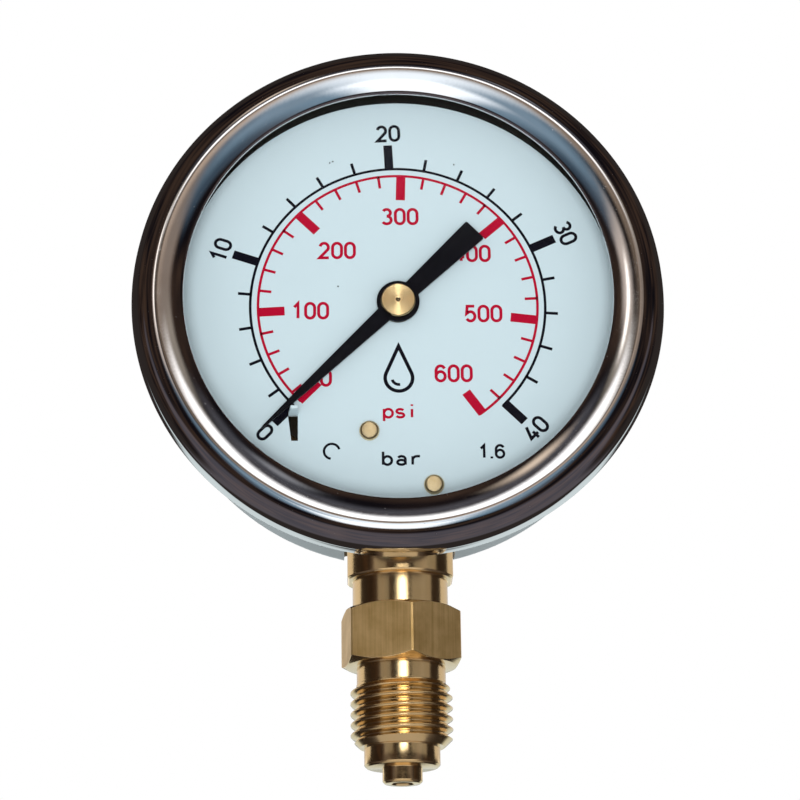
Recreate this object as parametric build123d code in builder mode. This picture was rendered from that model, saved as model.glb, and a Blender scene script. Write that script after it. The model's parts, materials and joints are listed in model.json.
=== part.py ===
"""Bourdon-tube pressure gauge, nominal size 63 mm, with a bottom G 1/4 B process connection.

Frame: millimetres, +Z up, the dial faces -Y. The origin lies on the stem's axis, in the plane of the
sealing face at the end of the thread pilot. Inside the case, places are given in the dial's own layout:
x to the right and z up from the pointer axis, and depth behind the dial's printed face.
"""

from build123d import *
from math import atan2, cos, degrees, hypot, pi, radians, sin
import os

os.makedirs("parts", exist_ok=True)

# ---------------------------------------------------------------- driving dimensions
AXIS_Z = 58.3             # pointer axis above the sealing face
DIAL_Y = -8.5             # printed face of the dial, in front of the stem's axis

CASE_R = 31.5             # outside of the drawn case
SHEET = 0.8               # thickness of the case sheet
CASE_BACK = 17.8          # depth of the outside of the back wall
BACK_CORNER_R = 6.2
FLANGE_R = 33.1           # rim turned outwards at the front of the case
FLANGE_FRONT = -3.0       # depth of the rim's front face

BEZEL_R = 34.0            # widest radius of the crimped ring
BEZEL_LIP_R = 27.4
WINDOW_R = 31.0
WINDOW_FRONT = -4.75
WINDOW_T = 1.4

DIAL_R = 28.45
DIAL_T = 0.4
RIVETS = [(-3.83, -16.93), (4.25, -24.07)]
RIVET_SHANK_R = 0.8
STOP_X, STOP_Z = -13.5, -14.83       # middle of the stop tab's bend line
STOP_W = 1.26
STOP_HEIGHT = 3.0
STOP_SLOT = 3.35

POINTER_REST = -134.2     # degrees clockwise from the top
POINTER_DEPTH = -1.55     # front face of the pointer's sheet
POINTER_T = 0.35
POINTER_TIP_R = 24.3
POINTER_TAIL_R = 14.1
HUB_R = 2.25

MODULE = 0.25             # wheel teeth of the movement
PINION_TEETH = 12
SECTOR_TEETH = 96         # on the whole circle
TOOTH_HALF_W = 0.165      # at the pitch circle
ADDENDUM, DEDENDUM = 0.19, 0.31
SECTOR_DIRECTION = -10    # degrees, from the pointer axis to the sector's pivot, counterclockwise from +x
TAIL_R = 4.0              # from the sector's pivot to the link's pin
SECTOR_SWING = 34.8       # degrees, full scale

PLATE_T = 1.0
FRONT_PLATE = 2.2         # depth of the front plate's front face
BACK_PLATE = 9.0
SECTOR_FRONT, SECTOR_T = 5.8, 0.8
LINK_FRONT, LINK_T = 6.7, 0.6
LUG_FRONT, LUG_T = 7.4, 1.0

TUBE_R = 22.3             # centre line of the Bourdon tube
TUBE_W, TUBE_T, TUBE_WALL = 8.0, 3.0, 0.4
TUBE_DEPTH = 8.5
TUBE_START, TUBE_END = 190, 478      # degrees clockwise from the top
TIP_R, TIP_ANGLE = 20.1, 130         # the pin that joins the tube's end to the link

THREAD_R, THREAD_ROOT_R, PITCH = 13.157 / 2, 11.445 / 2, 1.337    # G 1/4 B
PILOT_R, PILOT_L = 4.75, 2.5
SPIGOT_R, SPIGOT_L = 2.5, 2.0
THREAD_TURNS = 6
LOWER_NECK_R, UPPER_NECK_R = 5.6, 6.05
HEX_BOTTOM, HEX_TOP, HEX_FLATS = 12.7, 19.9, 14.0
COLLAR_BOTTOM, COLLAR_SQUARE, COLLAR_ROUND_R = 23.7, 14.0, 8.95
INLET_R = 1.25

# ---------------------------------------------------------------- derived values
PINION_R = MODULE * PINION_TEETH / 2
SECTOR_R = MODULE * SECTOR_TEETH / 2
CENTRES = PINION_R + SECTOR_R
PIVOT = (CENTRES * cos(radians(SECTOR_DIRECTION)), CENTRES * sin(radians(SECTOR_DIRECTION)))
TAIL_ANGLE = SECTOR_DIRECTION - SECTOR_SWING / 2
TAIL = (PIVOT[0] + TAIL_R * cos(radians(TAIL_ANGLE)), PIVOT[1] + TAIL_R * sin(radians(TAIL_ANGLE)))
TIP = (TIP_R * sin(radians(TIP_ANGLE)), TIP_R * cos(radians(TIP_ANGLE)))
THREAD_TOP = PILOT_L + THREAD_TURNS * PITCH

CENTRE = (0, DIAL_Y, AXIS_Z)
POINTER_AXIS = Axis(CENTRE, (0, 1, 0))


def layer(depth):
    """The plane at this depth behind the dial's face, seen from the front: x right, y up."""
    return Plane(origin=(0, DIAL_Y + depth, AXIS_Z), x_dir=(1, 0, 0), z_dir=(0, -1, 0))


def radial(clockwise=90.0):
    """A plane through the pointer axis: its x is the radius at that angle, its y the depth."""
    a = radians(clockwise)
    return Plane(origin=CENTRE, x_dir=(sin(a), 0, cos(a)), z_dir=(-cos(a), 0, sin(a)))


def polar(radius, clockwise):
    """A point of the dial's layout."""
    return (radius * sin(radians(clockwise)), radius * cos(radians(clockwise)))


def save(builder, name):
    """Label a finished piece and write its STEP file."""
    builder.part.label = name
    export_step(builder.part, f"parts/{name}.step")


# ---------------------------------------------------------------- case and front
def case_profile(r, back, corner):
    """Half section of a flat-backed drum, open at the front, from the axis outwards."""
    Polyline((0, FLANGE_FRONT), (0, back), (r - corner, back))
    mid = (r - corner + corner * sin(pi / 4), back - corner + corner * cos(pi / 4))
    ThreePointArc((r - corner, back), mid, (r, back - corner))
    Polyline((r, back - corner), (r, FLANGE_FRONT), (0, FLANGE_FRONT))


PLUG_AT = (0, 12)
PLUG_HOLE_R = 6.0
CASE_SCREWS = [(-4.6, -21.6), (4.6, -21.6)]
CASE_SCREW_HOLE_R = 1.6

with BuildPart() as case:
    with BuildSketch(radial()):
        with BuildLine():
            case_profile(CASE_R, CASE_BACK, BACK_CORNER_R)
        make_face()
    revolve(axis=POINTER_AXIS)
    with BuildSketch(layer(FLANGE_FRONT + SHEET)):
        Circle(FLANGE_R)
    extrude(amount=SHEET)
    with BuildSketch(radial()):
        with BuildLine():
            case_profile(CASE_R - SHEET, CASE_BACK - SHEET, BACK_CORNER_R - SHEET)
        make_face()
    revolve(axis=POINTER_AXIS, mode=Mode.SUBTRACT)
    with BuildSketch(layer(CASE_BACK + 1)):
        with Locations(PLUG_AT):
            Circle(PLUG_HOLE_R)
        with Locations(*CASE_SCREWS):
            Circle(CASE_SCREW_HOLE_R)
    extrude(amount=4, mode=Mode.SUBTRACT)
    # the square hole for the stem, through the bottom of the drum
    with BuildSketch(Plane.XY.offset(AXIS_Z - CASE_R - 2)):
        RectangleRounded(COLLAR_SQUARE + 0.2, COLLAR_SQUARE + 0.2, 0.6)
    extrude(amount=6, mode=Mode.SUBTRACT)
save(case, "case")

# rubber disc that lets go if the tube bursts: a head outside, a neck in the hole and a rim inside
with BuildPart() as blow_out_plug:
    with BuildSketch(Plane(origin=(PLUG_AT[0], DIAL_Y, AXIS_Z + PLUG_AT[1]), z_dir=(0, 0, 1))):
        with BuildLine():
            Polyline(
                (0, CASE_BACK - SHEET - 0.9),
                (PLUG_HOLE_R + 0.6, CASE_BACK - SHEET - 0.9),
                (PLUG_HOLE_R + 0.9, CASE_BACK - SHEET),
                (PLUG_HOLE_R, CASE_BACK - SHEET),
                (PLUG_HOLE_R, CASE_BACK),
                (PLUG_HOLE_R + 1.1, CASE_BACK),
                (PLUG_HOLE_R + 0.7, CASE_BACK + 1.0),
                (PLUG_HOLE_R - 1.6, CASE_BACK + 1.3),
                (PLUG_HOLE_R - 2.2, CASE_BACK + 0.7),
                (0, CASE_BACK + 0.7),
                close=True,
            )
        make_face()
    revolve(axis=Axis((PLUG_AT[0], DIAL_Y, AXIS_Z + PLUG_AT[1]), (0, 1, 0)))
save(blow_out_plug, "blow_out_plug")

# crimped ring: its rear edge hooks behind the case's rim, its front slopes down to the window
with BuildPart() as bezel_ring:
    with BuildSketch(radial()):
        with BuildLine():
            Line((31.9, -1.4), (32.7, -1.4))
            ThreePointArc((32.7, -1.4), (33.75, -2.25), (BEZEL_R, -3.6))
            ThreePointArc((BEZEL_R, -3.6), (33.1, -5.55), (31.5, -6.2))
            ThreePointArc((31.5, -6.2), (31.2, -6.22), (30.9, -6.16))
            ThreePointArc((30.9, -6.16), (29.3, -5.78), (BEZEL_LIP_R + 0.1, -5.55))
            ThreePointArc((BEZEL_LIP_R + 0.1, -5.55), (BEZEL_LIP_R - 0.12, -5.2), (BEZEL_LIP_R + 0.15, -4.8))
            Line((BEZEL_LIP_R + 0.15, -4.8), (29.6, -4.8))
            ThreePointArc((29.6, -4.8), (30.6, -5.25), (31.4, -5.42))
            ThreePointArc((31.4, -5.42), (32.6, -4.95), (33.15, -3.6))
            Polyline((33.15, -3.6), (33.15, -2.2), (31.9, -2.2), (31.9, -1.4))
        make_face()
    revolve(axis=POINTER_AXIS)
save(bezel_ring, "bezel_ring")

with BuildPart() as window:
    with BuildSketch(layer(WINDOW_FRONT + WINDOW_T)):
        Circle(WINDOW_R)
    extrude(amount=WINDOW_T)
save(window, "window")

# L-shaped rubber ring: the foot carries the window, the upright surrounds its edge
with BuildPart() as window_gasket:
    with BuildSketch(radial()):
        with BuildLine():
            Polyline(
                (29.8, FLANGE_FRONT),
                (32.9, FLANGE_FRONT),
                (32.9, -4.5),
                (WINDOW_R, -4.75),
                (WINDOW_R, WINDOW_FRONT + WINDOW_T),
                (29.8, WINDOW_FRONT + WINDOW_T),
                close=True,
            )
        make_face()
    revolve(axis=POINTER_AXIS)
save(window_gasket, "window_gasket")

# ---------------------------------------------------------------- stem
BLOCK_TOP = -14.7          # layout heights of the stem's block inside the case
STEP_TOP = -18.6
SHOULDER_TOP = -25.2
SHOULDER_BOTTOM = -27.6
BLOCK_FRONT = DIAL_T
STEP_BACK = BACK_PLATE
BLOCK_BACK = CASE_BACK - SHEET
SHOULDER_HALF_W = 9.2
SHOULDER_FRONT = DIAL_T + 0.05
MOVEMENT_SCREWS = [(-4.0, -16.7), (4.0, -16.7)]


def block(half_w, low, high, front, back):
    """A box of the stem's block, in the dial's layout."""
    with BuildSketch(layer(back)) as outline:
        with Locations((0, (low + high) / 2)):
            Rectangle(2 * half_w, high - low)
    extrude(outline.sketch, amount=back - front)


def holes(places, radius, front, back):
    """Round holes along the depth."""
    with BuildSketch(layer(back)) as outline:
        with Locations(*places):
            Circle(radius)
    extrude(outline.sketch, amount=back - front, mode=Mode.SUBTRACT)


# the room inside the case, which the block and its seal fill at the bottom
with BuildPart() as case_room:
    with BuildSketch(radial()):
        with BuildLine():
            case_profile(CASE_R - SHEET, CASE_BACK - SHEET, BACK_CORNER_R - SHEET)
        make_face()
    revolve(axis=POINTER_AXIS)

with BuildPart() as stem_block:
    block(SHOULDER_HALF_W, SHOULDER_BOTTOM, SHOULDER_TOP, SHOULDER_FRONT, BLOCK_BACK)
    block(COLLAR_SQUARE / 2, SHOULDER_TOP, STEP_TOP, BLOCK_FRONT, BLOCK_BACK)
    block(COLLAR_SQUARE / 2, STEP_TOP, BLOCK_TOP, BLOCK_FRONT, STEP_BACK)
    add(case_room.part, mode=Mode.INTERSECT)

with BuildPart() as stem:
    # turned connection: centring spigot, pilot, thread, neck
    with BuildSketch(Plane.XZ):
        with BuildLine():
            Polyline((0, -SPIGOT_L), (SPIGOT_R - 0.3, -SPIGOT_L), (SPIGOT_R, -SPIGOT_L + 0.3), (SPIGOT_R, 0))
            Polyline((SPIGOT_R, 0), (PILOT_R - 0.3, 0), (PILOT_R, 0.3), (PILOT_R, PILOT_L), (0, PILOT_L))
            Line((0, PILOT_L), (0, -SPIGOT_L))
        make_face()
        with BuildLine():
            Polyline(
                (0, PILOT_L),
                (THREAD_ROOT_R, PILOT_L),
                (THREAD_ROOT_R, THREAD_TOP),
                (LOWER_NECK_R, THREAD_TOP),
                (LOWER_NECK_R, HEX_BOTTOM),
                (0, HEX_BOTTOM),
                close=True,
            )
        make_face()
        # thread ridges: flanks at 55 degrees, each as a ring of the thread's profile
        for turn in range(THREAD_TURNS):
            mid = PILOT_L + (turn + 0.5) * PITCH
            crest_r = THREAD_R
            with BuildLine():
                Polyline(
                    (THREAD_ROOT_R - 0.2, mid - 0.42 * PITCH),
                    (THREAD_ROOT_R, mid - 0.42 * PITCH),
                    (crest_r, mid - 0.09 * PITCH),
                    (crest_r, mid + 0.09 * PITCH),
                    (THREAD_ROOT_R, mid + 0.42 * PITCH),
                    (THREAD_ROOT_R - 0.2, mid + 0.42 * PITCH),
                    close=True,
                )
            make_face()
    revolve(axis=Axis.Z)
    # hexagon for the wrench, its corners turned off at 30 degrees
    with BuildSketch(Plane.XY.offset(HEX_BOTTOM)):
        RegularPolygon(HEX_FLATS / 2, 6, major_radius=False, rotation=99)
    extrude(amount=HEX_TOP - HEX_BOTTOM)
    with BuildSketch(Plane.XZ):
        flat_r = HEX_FLATS / 2
        far = flat_r + 4
        drop = (far - flat_r) * sin(radians(30)) / cos(radians(30))
        for face_z, way in ((HEX_BOTTOM, 1), (HEX_TOP, -1)):
            with BuildLine():
                Polyline((flat_r, face_z), (far, face_z), (far, face_z + way * drop), close=True)
            make_face()
    revolve(axis=Axis.Z, mode=Mode.SUBTRACT)
    # upper neck and the square collar with its turned corners
    with BuildSketch(Plane.XY.offset(HEX_TOP)):
        Circle(UPPER_NECK_R)
    extrude(amount=COLLAR_BOTTOM - HEX_TOP)
    collar_top = AXIS_Z + SHOULDER_BOTTOM
    with BuildSketch(Plane.XY.offset(COLLAR_BOTTOM)):
        Rectangle(COLLAR_SQUARE, COLLAR_SQUARE)
        Circle(COLLAR_ROUND_R, mode=Mode.INTERSECT)
    extrude(amount=collar_top - COLLAR_BOTTOM)
    with BuildSketch(Plane.XZ):
        with BuildLine():
            Polyline(
                (COLLAR_SQUARE / 2 + 0.1, COLLAR_BOTTOM),
                (COLLAR_ROUND_R + 1, COLLAR_BOTTOM),
                (COLLAR_ROUND_R + 1, COLLAR_BOTTOM + 1.7),
                close=True,
            )
        make_face()
    revolve(axis=Axis.Z, mode=Mode.SUBTRACT)
    # shoulder, block and the step that carries the movement
    add(stem_block.part)
    # slot for the root of the tube, and the drilled way for the pressure
    with BuildSketch(radial(TUBE_START)):
        with Locations((TUBE_R, TUBE_DEPTH)):
            SlotOverall(TUBE_W + 0.04, TUBE_T + 0.04, rotation=90)
    revolve(axis=POINTER_AXIS, revolution_arc=14, mode=Mode.SUBTRACT)
    inlet_top = AXIS_Z + polar(TUBE_R, TUBE_START)[1]
    with BuildSketch(Plane.XY.offset(-SPIGOT_L)):
        Circle(INLET_R)
    extrude(amount=inlet_top + SPIGOT_L + 0.9, mode=Mode.SUBTRACT)
    with BuildSketch(Plane.YZ.offset(polar(TUBE_R, TUBE_START)[0] - 0.6)):
        with Locations((0, inlet_top)):
            Circle(0.9)
    extrude(amount=-polar(TUBE_R, TUBE_START)[0] + 0.6, mode=Mode.SUBTRACT)
    holes(RIVETS, RIVET_SHANK_R, BLOCK_FRONT, BLOCK_FRONT + 2.5)
    holes(MOVEMENT_SCREWS, 1.0, STEP_BACK - 4.0, STEP_BACK)
    holes(CASE_SCREWS, 1.5, BLOCK_BACK - 2.6, BLOCK_BACK)
save(stem, "stem")

# rubber frame squeezed between the stem's shoulder and the curved inside of the case
SEAL_FRONT = DIAL_T + 0.05 # depth of the frame's front edge

with BuildPart() as stem_seal:
    add(case_room.part)
    with BuildSketch(Plane.XY.offset(AXIS_Z + SHOULDER_BOTTOM)):
        seal_depth = BLOCK_BACK - SEAL_FRONT
        with Locations((0, DIAL_Y + SEAL_FRONT + seal_depth / 2)):
            Rectangle(2 * SHOULDER_HALF_W, seal_depth)
        Rectangle(COLLAR_SQUARE + 0.2, COLLAR_SQUARE + 0.2, mode=Mode.SUBTRACT)
    extrude(amount=-4, mode=Mode.INTERSECT)
save(stem_seal, "stem_seal")


def screw(places, head_front, head_t, head_r, shank_r, tip, slot_w, seen_from_behind=False):
    """Pan-head screws with a straight slot; the shank runs from the head to the depth of its tip."""
    outer = head_front + head_t if seen_from_behind else head_front
    inner = head_front if seen_from_behind else head_front + head_t
    way = 1 if seen_from_behind else -1
    with BuildSketch(layer(outer)) as head:
        with Locations(*places):
            Circle(head_r)
    extrude(head.sketch, amount=way * head_t)
    chamfer(edges().filter_by(GeomType.CIRCLE).group_by(Axis.Y)[-1 if seen_from_behind else 0], head_t * 0.3)
    with BuildSketch(layer(outer)) as slot:
        with Locations(*places):
            Rectangle(2 * head_r + 1, slot_w)
    extrude(slot.sketch, amount=way * head_t * 0.45, mode=Mode.SUBTRACT)
    with BuildSketch(layer(inner)) as shank:
        with Locations(*places):
            Circle(shank_r)
    extrude(shank.sketch, amount=inner - tip)


# two screws through the back wall hold the case to the stem's block
with BuildPart() as case_screws:
    screw(CASE_SCREWS, CASE_BACK, 1.5, 2.6, 1.5, BLOCK_BACK - 2.6, 0.7, seen_from_behind=True)
save(case_screws, "case_screws")

# ---------------------------------------------------------------- dial
STOP_TAPER = 0.42          # the tab's free end is narrower than its root

with BuildPart() as dial:
    with BuildSketch(layer(DIAL_T)):
        Circle(DIAL_R)
        Circle(2.4, mode=Mode.SUBTRACT)
        with Locations(*RIVETS):
            Circle(RIVET_SHANK_R, mode=Mode.SUBTRACT)
        with BuildLine():
            Polyline(
                (STOP_X - STOP_W / 2, STOP_Z),
                (STOP_X + STOP_W / 2, STOP_Z),
                (STOP_X + STOP_W / 2, STOP_Z - STOP_SLOT),
                (STOP_X - STOP_W / 2 + STOP_TAPER, STOP_Z - STOP_SLOT),
                close=True,
            )
        make_face(mode=Mode.SUBTRACT)
    extrude(amount=DIAL_T)
    # the tab bent forwards out of that slot: the pointer rests against it
    with BuildSketch(Plane.XY.offset(AXIS_Z + STOP_Z)):
        with BuildLine():
            Polyline(
                (STOP_X - STOP_W / 2, DIAL_Y + DIAL_T),
                (STOP_X + STOP_W / 2, DIAL_Y + DIAL_T),
                (STOP_X + STOP_W / 2, DIAL_Y - STOP_HEIGHT),
                (STOP_X - STOP_W / 2 + STOP_TAPER, DIAL_Y - STOP_HEIGHT),
                close=True,
            )
        make_face()
    extrude(amount=DIAL_T)
save(dial, "dial")

# round-headed rivets that hold the dial on the block
with BuildPart() as dial_rivets:
    with BuildSketch(layer(0)):
        with Locations(*RIVETS):
            Circle(1.28)
    extrude(amount=0.55)
    fillet(edges().filter_by(GeomType.CIRCLE).group_by(Axis.Y)[0], 0.5)
    with BuildSketch(layer(0)):
        with Locations(*RIVETS):
            Circle(RIVET_SHANK_R)
    extrude(amount=-(BLOCK_FRONT + 2.5))
save(dial_rivets, "dial_rivets")

# ---------------------------------------------------------------- movement frame
PILLARS = [(-6.4, 3.2), (-6.4, -5.4), (15.2, 4.4)]
PILLAR_R = 1.3
PIVOT_HOLE_R = 0.5
PIVOT_R = 0.45
JOURNAL_R = 0.7
RUNNING = 0.05


def plate_outline(leg):
    """Outline of a movement plate; the back one has a leg that reaches the stem's block."""
    with Locations((4.6, -0.9)):
        RectangleRounded(27.4, 14.6, 3.0)
    if leg:
        with Locations((0, (STEP_TOP - 6) / 2)):
            Rectangle(11.6, abs(STEP_TOP) - 6)


with BuildPart() as movement_front_plate:
    with BuildSketch(layer(FRONT_PLATE + PLATE_T)):
        plate_outline(False)
        Circle(JOURNAL_R + RUNNING, mode=Mode.SUBTRACT)
        with Locations(PIVOT):
            Circle(PIVOT_HOLE_R, mode=Mode.SUBTRACT)
        with Locations(*PILLARS):
            Circle(0.75, mode=Mode.SUBTRACT)
    extrude(amount=PLATE_T)
save(movement_front_plate, "movement_front_plate")

with BuildPart() as movement_back_plate:
    with BuildSketch(layer(BACK_PLATE + PLATE_T)):
        plate_outline(True)
        Circle(PIVOT_HOLE_R, mode=Mode.SUBTRACT)
        with Locations(PIVOT):
            Circle(PIVOT_HOLE_R, mode=Mode.SUBTRACT)
        with Locations(*PILLARS):
            Circle(0.7, mode=Mode.SUBTRACT)
        with Locations(*MOVEMENT_SCREWS):
            Circle(1.0, mode=Mode.SUBTRACT)
    extrude(amount=PLATE_T)
save(movement_back_plate, "movement_back_plate")

with BuildPart() as movement_pillars:
    with BuildSketch(layer(BACK_PLATE)):
        with Locations(*PILLARS):
            Circle(PILLAR_R)
    extrude(amount=BACK_PLATE - FRONT_PLATE - PLATE_T)
    with BuildSketch(layer(BACK_PLATE + PLATE_T)):
        with Locations(*PILLARS):
            Circle(0.7)
    extrude(amount=PLATE_T)
    holes(PILLARS, 0.75, FRONT_PLATE + PLATE_T, FRONT_PLATE + PLATE_T + 2.2)
save(movement_pillars, "movement_pillars")

with BuildPart() as movement_plate_screws:
    screw(PILLARS, FRONT_PLATE - 0.9, 0.9, 1.5, 0.75, FRONT_PLATE + PLATE_T + 2.2, 0.4)
save(movement_plate_screws, "movement_plate_screws")

with BuildPart() as movement_mounting_screws:
    screw(MOVEMENT_SCREWS, BACK_PLATE + PLATE_T, 1.2, 1.9, 1.0, STEP_BACK - 4.0, 0.5, seen_from_behind=True)
save(movement_mounting_screws, "movement_mounting_screws")

# ---------------------------------------------------------------- toothed sector
TIP_HALF_W, ROOT_HALF_W = 0.09, 0.24
SECTOR_PITCH = 360 / SECTOR_TEETH
FIRST_TOOTH, LAST_TOOTH = -11, 1     # counted from the line of centres, clockwise negative
TAIL_PIN_R = 0.42


def tooth(pitch_r, angle, centre):
    """One straight-sided tooth, pointing away from the centre at this angle from +x."""
    a = radians(angle)
    points = []
    for r, w in (
        (pitch_r - DEDENDUM - 0.2, -ROOT_HALF_W),
        (pitch_r - DEDENDUM, -ROOT_HALF_W),
        (pitch_r, -TOOTH_HALF_W),
        (pitch_r + ADDENDUM, -TIP_HALF_W),
        (pitch_r + ADDENDUM, TIP_HALF_W),
        (pitch_r, TOOTH_HALF_W),
        (pitch_r - DEDENDUM, ROOT_HALF_W),
        (pitch_r - DEDENDUM - 0.2, ROOT_HALF_W),
    ):
        points.append((centre[0] + r * cos(a) - w * sin(a), centre[1] + r * sin(a) + w * cos(a)))
    with BuildLine() as outline:
        Polyline(*points, close=True)
    make_face(outline.edges())


def around_pivot(radius, angle):
    """A point of the layout, this far from the sector's pivot."""
    return (PIVOT[0] + radius * cos(radians(angle)), PIVOT[1] + radius * sin(radians(angle)))


with BuildPart() as sector_gear:
    with BuildSketch(layer(SECTOR_FRONT + SECTOR_T)):
        facing = SECTOR_DIRECTION + 180
        low = facing + (FIRST_TOOTH - 0.5) * SECTOR_PITCH
        high = facing + (LAST_TOOTH + 0.5) * SECTOR_PITCH
        middle = (low + high) / 2
        rim_r = SECTOR_R - DEDENDUM
        with BuildLine():
            Line(PIVOT, around_pivot(rim_r, low))
            ThreePointArc(around_pivot(rim_r, low), around_pivot(rim_r, middle), around_pivot(rim_r, high))
            Line(around_pivot(rim_r, high), PIVOT)
        make_face()
        for n in range(FIRST_TOOTH, LAST_TOOTH + 1):
            tooth(SECTOR_R, facing + n * SECTOR_PITCH, PIVOT)
        # window that lightens the sector, between two arms and the rim
        with BuildLine():
            Line(around_pivot(4.2, low + 14), around_pivot(rim_r - 1.7, low + 7))
            ThreePointArc(
                around_pivot(rim_r - 1.7, low + 7),
                around_pivot(rim_r - 1.7, middle),
                around_pivot(rim_r - 1.7, high - 7),
            )
            Line(around_pivot(rim_r - 1.7, high - 7), around_pivot(4.2, high - 14))
            Line(around_pivot(4.2, high - 14), around_pivot(4.2, low + 14))
        make_face(mode=Mode.SUBTRACT)
        with Locations(PIVOT):
            Circle(2.0)
        with BuildSketch(mode=Mode.PRIVATE) as tail_outline:
            with Locations(PIVOT):
                Circle(1.7)
            with Locations(TAIL):
                Circle(1.15)
            make_hull()
        add(tail_outline.sketch)
        with Locations(PIVOT):
            Circle(0.8, mode=Mode.SUBTRACT)
        with Locations(TAIL):
            Circle(TAIL_PIN_R, mode=Mode.SUBTRACT)
    extrude(amount=SECTOR_T)
save(sector_gear, "sector_gear")


def disc(places, radius, front, back):
    """A round bar along the depth."""
    with BuildSketch(layer(back)) as outline:
        with Locations(*places):
            Circle(radius)
    extrude(outline.sketch, amount=back - front)


with BuildPart() as sector_arbor:
    disc([PIVOT], PIVOT_R, FRONT_PLATE, BACK_PLATE + PLATE_T)
    disc([PIVOT], 0.8, FRONT_PLATE + PLATE_T + 0.05, BACK_PLATE - 0.05)
    disc([PIVOT], 1.4, SECTOR_FRONT + SECTOR_T, BACK_PLATE - 0.4)
save(sector_arbor, "sector_arbor")

with BuildPart() as sector_link_pin:
    disc([TAIL], TAIL_PIN_R, SECTOR_FRONT - 0.3, LINK_FRONT + LINK_T + 0.05)
    disc([TAIL], 0.95, LINK_FRONT + LINK_T + 0.05, LINK_FRONT + LINK_T + 0.4)
    disc([TAIL], 0.6, SECTOR_FRONT - 0.3, SECTOR_FRONT)
save(sector_link_pin, "sector_link_pin")

# ---------------------------------------------------------------- link and tube
TIP_PIN_R = 0.4
LINK_HOLE_R = 0.6          # loose on the sector's pin

with BuildPart() as link:
    with BuildSketch(layer(LINK_FRONT + LINK_T)):
        with BuildSketch(mode=Mode.PRIVATE) as link_outline:
            with Locations(TIP, TAIL):
                Circle(0.7)
            make_hull()
        add(link_outline.sketch)
        with Locations(TIP, TAIL):
            Circle(1.15)
        with Locations(TIP):
            Circle(TIP_PIN_R + RUNNING, mode=Mode.SUBTRACT)
        with Locations(TAIL):
            Circle(LINK_HOLE_R, mode=Mode.SUBTRACT)
    extrude(amount=LINK_T)
save(link, "link")

# flattened tube, rolled to an open ring: pressure inside it makes the ring open
with BuildPart() as bourdon_tube:
    with BuildSketch(radial(TUBE_START)):
        with Locations((TUBE_R, TUBE_DEPTH)):
            SlotOverall(TUBE_W, TUBE_T, rotation=90)
            SlotOverall(TUBE_W - 2 * TUBE_WALL, TUBE_T - 2 * TUBE_WALL, rotation=90, mode=Mode.SUBTRACT)
    revolve(axis=POINTER_AXIS, revolution_arc=TUBE_END - TUBE_START)
save(bourdon_tube, "bourdon_tube")

CAP_ARC = 5                # degrees of the tube's end that the end piece closes
LUG_AT = polar(TUBE_R - 0.4, TUBE_END + CAP_ARC / 2)

with BuildPart() as tube_end_piece:
    with BuildSketch(radial(TUBE_END)):
        with Locations((TUBE_R, TUBE_DEPTH)):
            SlotOverall(TUBE_W, TUBE_T, rotation=90)
    revolve(axis=POINTER_AXIS, revolution_arc=CAP_ARC)
    with BuildSketch(layer(LUG_FRONT + LUG_T)):
        with Locations(TIP):
            Circle(1.25)
        with Locations(LUG_AT):
            Circle(0.9)
        make_hull()
    extrude(amount=LUG_T)
    holes([TIP], TIP_PIN_R, LUG_FRONT, LUG_FRONT + LUG_T)
save(tube_end_piece, "tube_end_piece")

with BuildPart() as tip_link_pin:
    disc([TIP], TIP_PIN_R, LINK_FRONT - 0.05, LUG_FRONT + LUG_T + 0.3)
    disc([TIP], 0.95, LINK_FRONT - 0.4, LINK_FRONT - 0.05)
    disc([TIP], 0.6, LUG_FRONT + LUG_T, LUG_FRONT + LUG_T + 0.3)
save(tip_link_pin, "tip_link_pin")

# ---------------------------------------------------------------- pointer, pinion and hairspring
PINION_FRONT, PINION_BACK = 5.0, 7.4
SHAFT_FRONT = POINTER_DEPTH - 0.35
HUB_FRONT = POINTER_DEPTH - 0.6
HUB_BORE_R = 0.6

with BuildPart() as pinion_shaft:
    with BuildSketch(layer(PINION_BACK)):
        Circle(PINION_R - DEDENDUM)
        for n in range(PINION_TEETH):
            tooth(PINION_R, SECTOR_DIRECTION + (n + 0.5) * 360 / PINION_TEETH, (0, 0))
    extrude(amount=PINION_BACK - PINION_FRONT)
    disc([(0, 0)], PIVOT_R, PINION_BACK, BACK_PLATE + PLATE_T)
    disc([(0, 0)], 0.8, PINION_BACK, BACK_PLATE - 0.05)
    disc([(0, 0)], JOURNAL_R, -0.3, PINION_FRONT)
    disc([(0, 0)], HUB_BORE_R, SHAFT_FRONT, -0.3)
save(pinion_shaft, "pinion_shaft")

with BuildPart() as pointer_hub:
    disc([(0, 0)], HUB_R, HUB_FRONT, POINTER_DEPTH)
    chamfer(edges().filter_by(GeomType.CIRCLE).group_by(Axis.Y)[0], 0.15)
    disc([(0, 0)], 1.3, POINTER_DEPTH, -0.4)
    holes([(0, 0)], HUB_BORE_R, SHAFT_FRONT, 0)
    # turned centre mark in the hub's face
    with BuildSketch(radial()):
        with BuildLine():
            Polyline((0, HUB_FRONT), (0.3, HUB_FRONT), (0, HUB_FRONT + 0.2), close=True)
        make_face()
    revolve(axis=POINTER_AXIS, mode=Mode.SUBTRACT)
save(pointer_hub, "pointer_hub")

POINTER_SHAPE = [(2.2, 1.07), (17.0, 0.5), (POINTER_TIP_R - 0.3, 0.14), (POINTER_TIP_R, 0.05)]
TAIL_SHAPE = [(2.2, 1.1), (POINTER_TAIL_R - 0.15, 1.6), (POINTER_TAIL_R, 1.45)]


def along_pointer(distance, sideways):
    """A point of the layout: this far from the axis towards the tip, then to the left of it."""
    a = radians(POINTER_REST)
    return (distance * sin(a) - sideways * cos(a), distance * cos(a) + sideways * sin(a))


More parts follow.
